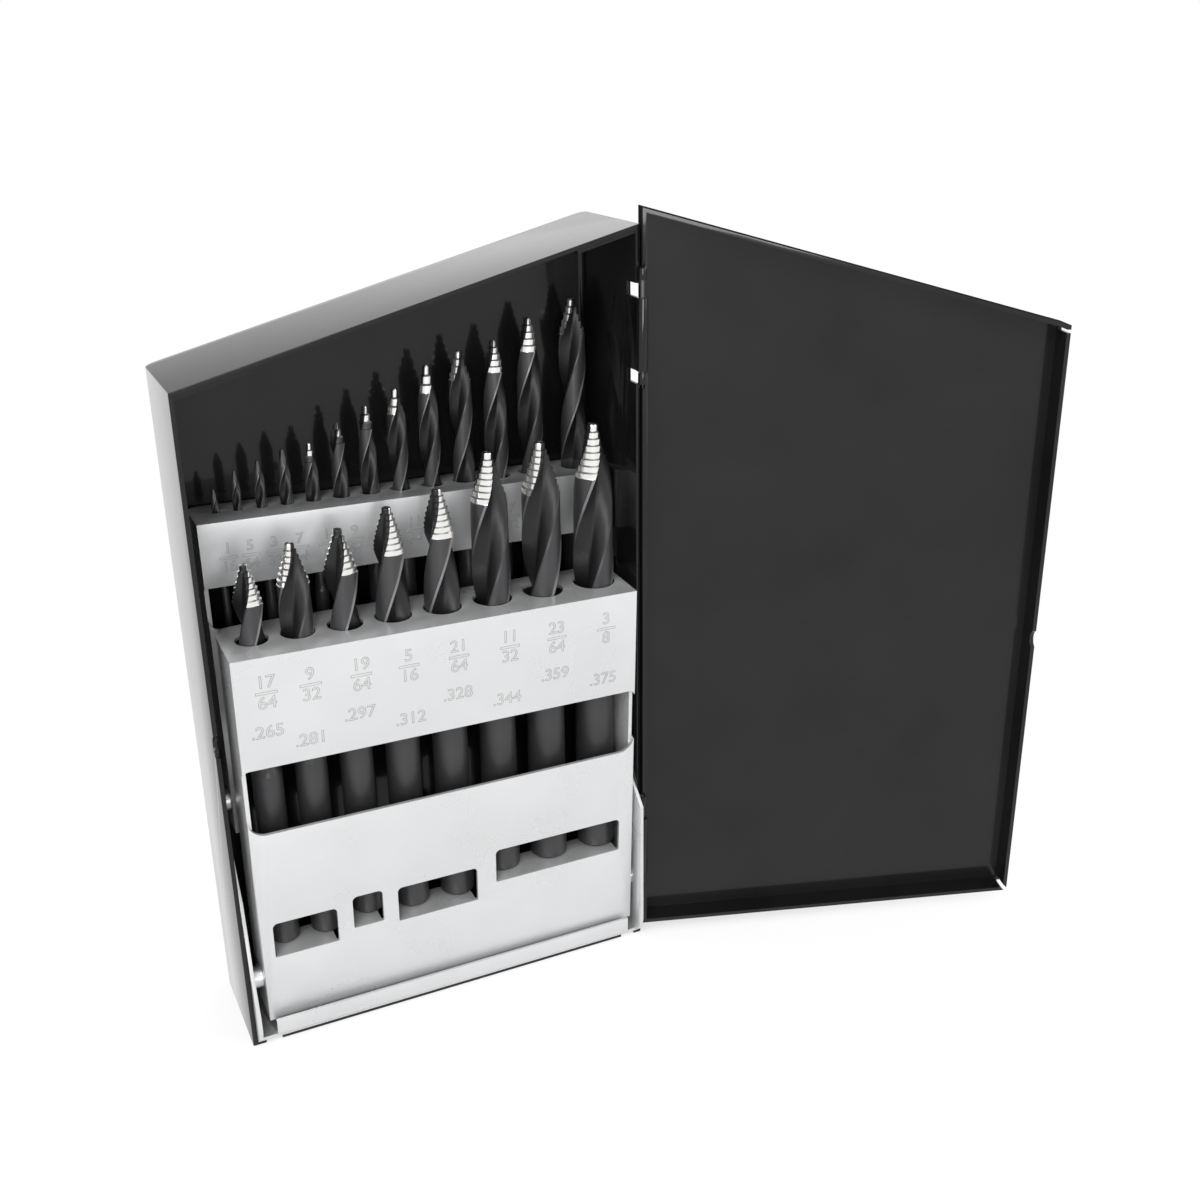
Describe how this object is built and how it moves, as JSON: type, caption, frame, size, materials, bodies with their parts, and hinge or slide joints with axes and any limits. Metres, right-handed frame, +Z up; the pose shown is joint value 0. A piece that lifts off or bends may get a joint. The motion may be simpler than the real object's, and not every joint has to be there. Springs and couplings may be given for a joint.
{
  "type": "drill bit case",
  "caption": "Slant-topped black steel drill bit case with a side-hinged lid and two tilting zinc racks holding step-tip twist drills in ascending size.",
  "frame": {"origin": "centre of the tray's flat underside, on the surface it stands on", "axes": "+Z up; the tray's open front faces -Y; the lid's hinge is on the +X side"},
  "size_m": [0.2003, 0.0627, 0.1857],
  "materials": {
    "case_enamel": "black baked enamel on sheet steel, satin gloss",
    "zinc_plate": "bright zinc plating on sheet steel",
    "rivet_steel": "zinc-plated steel",
    "pin_steel": "plain steel wire, partly enamelled",
    "bit_oxide": "black oxide on high-speed steel, bright where the tip steps are ground"
  },
  "bodies": {
    "case": {"tray": "case_enamel", "rack_bracket": "zinc_plate", "front_pivot_rivets": "rivet_steel", "back_pivot_rivets": "rivet_steel"},
    "hinge_pins": {"hinge_pins": "pin_steel"},
    "lid": {"lid": "case_enamel"},
    "front_rack": {"front_rack": "zinc_plate"},
    "back_rack": {"back_rack": "zinc_plate"},
    "bit_04": {"bit_04_64": "bit_oxide"},
    "bit_05": {"bit_05_64": "bit_oxide"},
    "bit_06": {"bit_06_64": "bit_oxide"},
    "bit_07": {"bit_07_64": "bit_oxide"},
    "bit_08": {"bit_08_64": "bit_oxide"},
    "bit_09": {"bit_09_64": "bit_oxide"},
    "bit_10": {"bit_10_64": "bit_oxide"},
    "bit_11": {"bit_11_64": "bit_oxide"},
    "bit_12": {"bit_12_64": "bit_oxide"},
    "bit_13": {"bit_13_64": "bit_oxide"},
    "bit_14": {"bit_14_64": "bit_oxide"},
    "bit_15": {"bit_15_64": "bit_oxide"},
    "bit_16": {"bit_16_64": "bit_oxide"},
    "bit_17": {"bit_17_64": "bit_oxide"},
    "bit_18": {"bit_18_64": "bit_oxide"},
    "bit_19": {"bit_19_64": "bit_oxide"},
    "bit_20": {"bit_20_64": "bit_oxide"},
    "bit_21": {"bit_21_64": "bit_oxide"},
    "bit_22": {"bit_22_64": "bit_oxide"},
    "bit_23": {"bit_23_64": "bit_oxide"},
    "bit_24": {"bit_24_64": "bit_oxide"}
  },
  "joints": [
    {"name": "lid_hinge", "type": "hinge", "parent": "hinge_pins", "child": "lid", "pos_m": [0.05085, -0.01585, 0.09], "axis": [0, 0, 1], "range_deg": [-161.75, 8]},
    {"name": "lid_drop", "type": "slide", "parent": "case", "child": "hinge_pins", "axis": [0, 0, 1], "range_m": [-0.0034, 0.0002]},
    {"name": "front_rack_tilt", "type": "hinge", "parent": "case", "child": "front_rack", "pos_m": [0, -0.01075, 0.016], "axis": [1, 0, 0], "range_deg": [0, 28]},
    {"name": "back_rack_tilt", "type": "hinge", "parent": "case", "child": "back_rack", "pos_m": [0, 0.00325, 0.056], "axis": [1, 0, 0], "range_deg": [0, 13]},
    {"name": "bit_04_lift", "type": "slide", "parent": "back_rack", "child": "bit_04", "axis": [0, 0, 1], "range_m": [0, 0.012]},
    {"name": "bit_05_lift", "type": "slide", "parent": "back_rack", "child": "bit_05", "axis": [0, 0, 1], "range_m": [0, 0.012]},
    {"name": "bit_06_lift", "type": "slide", "parent": "back_rack", "child": "bit_06", "axis": [0, 0, 1], "range_m": [0, 0.012]},
    {"name": "bit_07_lift", "type": "slide", "parent": "back_rack", "child": "bit_07", "axis": [0, 0, 1], "range_m": [0, 0.012]},
    {"name": "bit_08_lift", "type": "slide", "parent": "back_rack", "child": "bit_08", "axis": [0, 0, 1], "range_m": [0, 0.012]},
    {"name": "bit_09_lift", "type": "slide", "parent": "back_rack", "child": "bit_09", "axis": [0, 0, 1], "range_m": [0, 0.012]},
    {"name": "bit_10_lift", "type": "slide", "parent": "back_rack", "child": "bit_10", "axis": [0, 0, 1], "range_m": [0, 0.012]},
    {"name": "bit_11_lift", "type": "slide", "parent": "back_rack", "child": "bit_11", "axis": [0, 0, 1], "range_m": [0, 0.012]},
    {"name": "bit_12_lift", "type": "slide", "parent": "back_rack", "child": "bit_12", "axis": [0, 0, 1], "range_m": [0, 0.012]},
    {"name": "bit_13_lift", "type": "slide", "parent": "back_rack", "child": "bit_13", "axis": [0, 0, 1], "range_m": [0, 0.012]},
    {"name": "bit_14_lift", "type": "slide", "parent": "back_rack", "child": "bit_14", "axis": [0, 0, 1], "range_m": [0, 0.012]},
    {"name": "bit_15_lift", "type": "slide", "parent": "back_rack", "child": "bit_15", "axis": [0, 0, 1], "range_m": [0, 0.012]},
    {"name": "bit_16_lift", "type": "slide", "parent": "back_rack", "child": "bit_16", "axis": [0, 0, 1], "range_m": [0, 0.012]},
    {"name": "bit_17_lift", "type": "slide", "parent": "front_rack", "child": "bit_17", "axis": [0, -0.015, 0.9999], "range_m": [0, 0.03]},
    {"name": "bit_18_lift", "type": "slide", "parent": "front_rack", "child": "bit_18", "axis": [0, -0.015, 0.9999], "range_m": [0, 0.03]},
    {"name": "bit_19_lift", "type": "slide", "parent": "front_rack", "child": "bit_19", "axis": [0, -0.015, 0.9999], "range_m": [0, 0.03]},
    {"name": "bit_20_lift", "type": "slide", "parent": "front_rack", "child": "bit_20", "axis": [0, -0.015, 0.9999], "range_m": [0, 0.03]},
    {"name": "bit_21_lift", "type": "slide", "parent": "front_rack", "child": "bit_21", "axis": [0, -0.015, 0.9999], "range_m": [0, 0.03]},
    {"name": "bit_22_lift", "type": "slide", "parent": "front_rack", "child": "bit_22", "axis": [0, -0.015, 0.9999], "range_m": [0, 0.03]},
    {"name": "bit_23_lift", "type": "slide", "parent": "front_rack", "child": "bit_23", "axis": [0, -0.015, 0.9999], "range_m": [0, 0.03]},
    {"name": "bit_24_lift", "type": "slide", "parent": "front_rack", "child": "bit_24", "axis": [0, -0.015, 0.9999], "range_m": [0, 0.03]}
  ],
  "couplings": [
    {"joint": "lid_drop", "follows": "lid_hinge", "m_per_rad": 0.0012044},
    {"joint": "back_rack_tilt", "follows": "front_rack_tilt", "ratio": 0.45}
  ]
}
